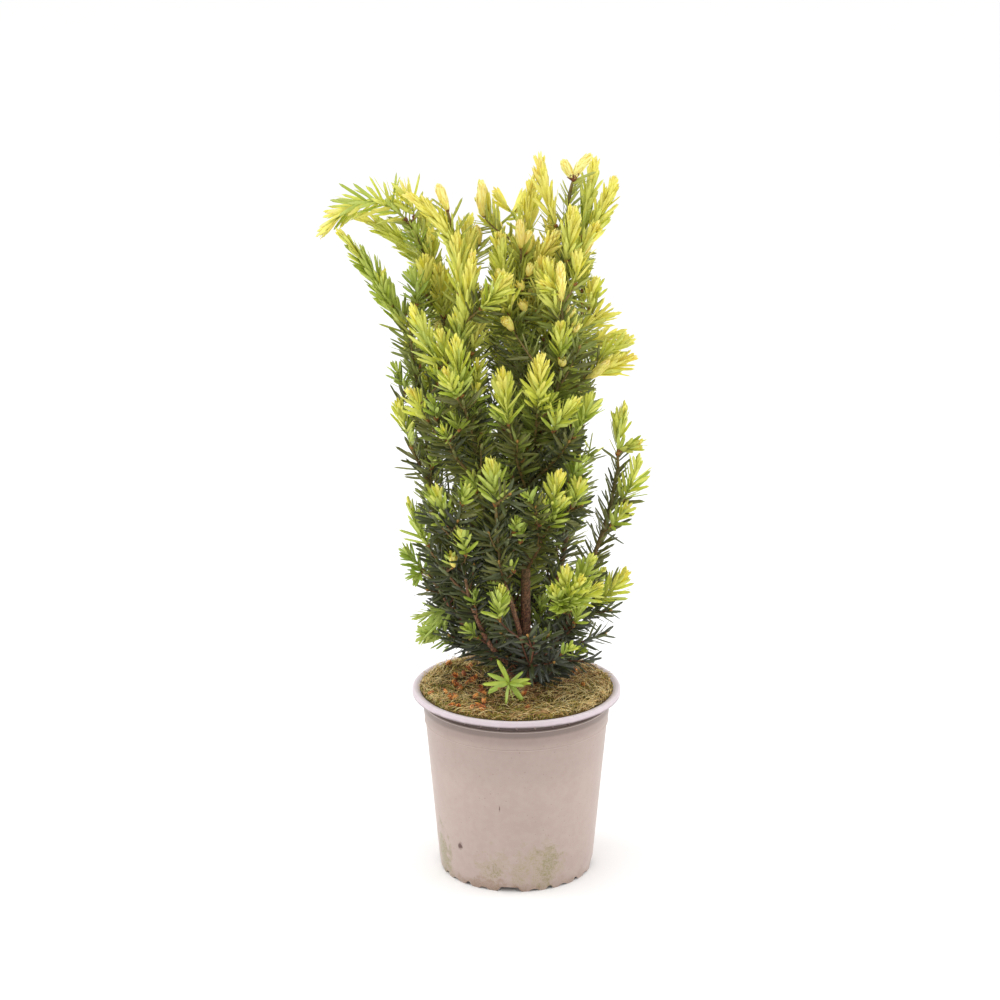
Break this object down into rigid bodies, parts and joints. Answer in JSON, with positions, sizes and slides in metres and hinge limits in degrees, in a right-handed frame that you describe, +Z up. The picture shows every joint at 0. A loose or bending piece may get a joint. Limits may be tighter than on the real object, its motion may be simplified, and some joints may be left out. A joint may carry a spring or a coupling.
{
  "type": "potted hillii yew",
  "caption": "Young upright yew shrub with several stems and needled sprays, growing in a round plastic nursery pot with moss on the peat.",
  "frame": {"origin": "centre of the pot's underside, on the surface that the pot stands on", "axes": "+Z up along the pot's axis; -Y is the front, as pictured; +X to the right of that view"},
  "size_m": [0.3057, 0.2128, 0.6745],
  "materials": {
    "pot": "satin injection-moulded plastic, warm taupe",
    "moss": "moist peat with a dry olive-brown moss mat",
    "bark": "thin scaly red-brown bark, olive on young stems",
    "fresh_foliage": "waxy lime-yellow young needles",
    "old_foliage": "satin dark green older needles"
  },
  "bodies": {
    "root": {"pot": "pot", "peat": "moss", "trunk": "bark", "stem_left": "bark", "stem_far_left": "bark", "stem_arching": "bark", "stem_back_left": "bark", "stem_back": "bark", "stem_back_right": "bark", "stem_middle": "bark", "stem_front_right": "bark", "stem_right": "bark", "stem_low_right": "bark", "stem_low_left": "bark", "stem_front": "bark", "stem_front_left": "bark", "spray_crown_tip": "fresh_foliage", "spray_crown_right": "fresh_foliage", "spray_crown_left": "fresh_foliage", "spray_crown_front": "fresh_foliage", "spray_right_upper": "fresh_foliage", "spray_right_middle": "fresh_foliage", "spray_centre_right": "fresh_foliage", "spray_centre_outer": "fresh_foliage", "spray_centre_left": "fresh_foliage", "spray_waist_front": "old_foliage", "spray_waist_right": "old_foliage", "spray_low_front": "old_foliage", "spray_low_side": "old_foliage", "spray_foot_star": "old_foliage", "spray_left_leader": "fresh_foliage", "spray_left_inner": "fresh_foliage", "spray_left_outer": "fresh_foliage", "spray_left_front": "fresh_foliage", "spray_left_waist": "fresh_foliage", "spray_far_left_leader": "fresh_foliage", "spray_far_left_side": "old_foliage", "spray_arching": "fresh_foliage", "spray_back_left_leader": "fresh_foliage", "spray_back_left_side": "fresh_foliage", "spray_middle_leader": "fresh_foliage", "spray_middle_front": "fresh_foliage", "spray_middle_left": "fresh_foliage", "spray_front_right_leader": "fresh_foliage", "spray_right_arm": "old_foliage", "spray_right_arm_side": "old_foliage", "spray_low_right": "old_foliage", "spray_low_left": "old_foliage", "spray_front_leader": "old_foliage", "spray_front_left_leader": "old_foliage", "spray_front_left_side": "old_foliage", "spray_back_leader": "fresh_foliage", "spray_back_upper": "fresh_foliage", "spray_back_waist": "old_foliage", "spray_back_right_leader": "fresh_foliage", "spray_back_right_upper": "fresh_foliage", "spray_back_right_waist": "old_foliage", "spray_low_back": "old_foliage", "spray_low_back_right": "old_foliage"}
  },
  "joints": []
}
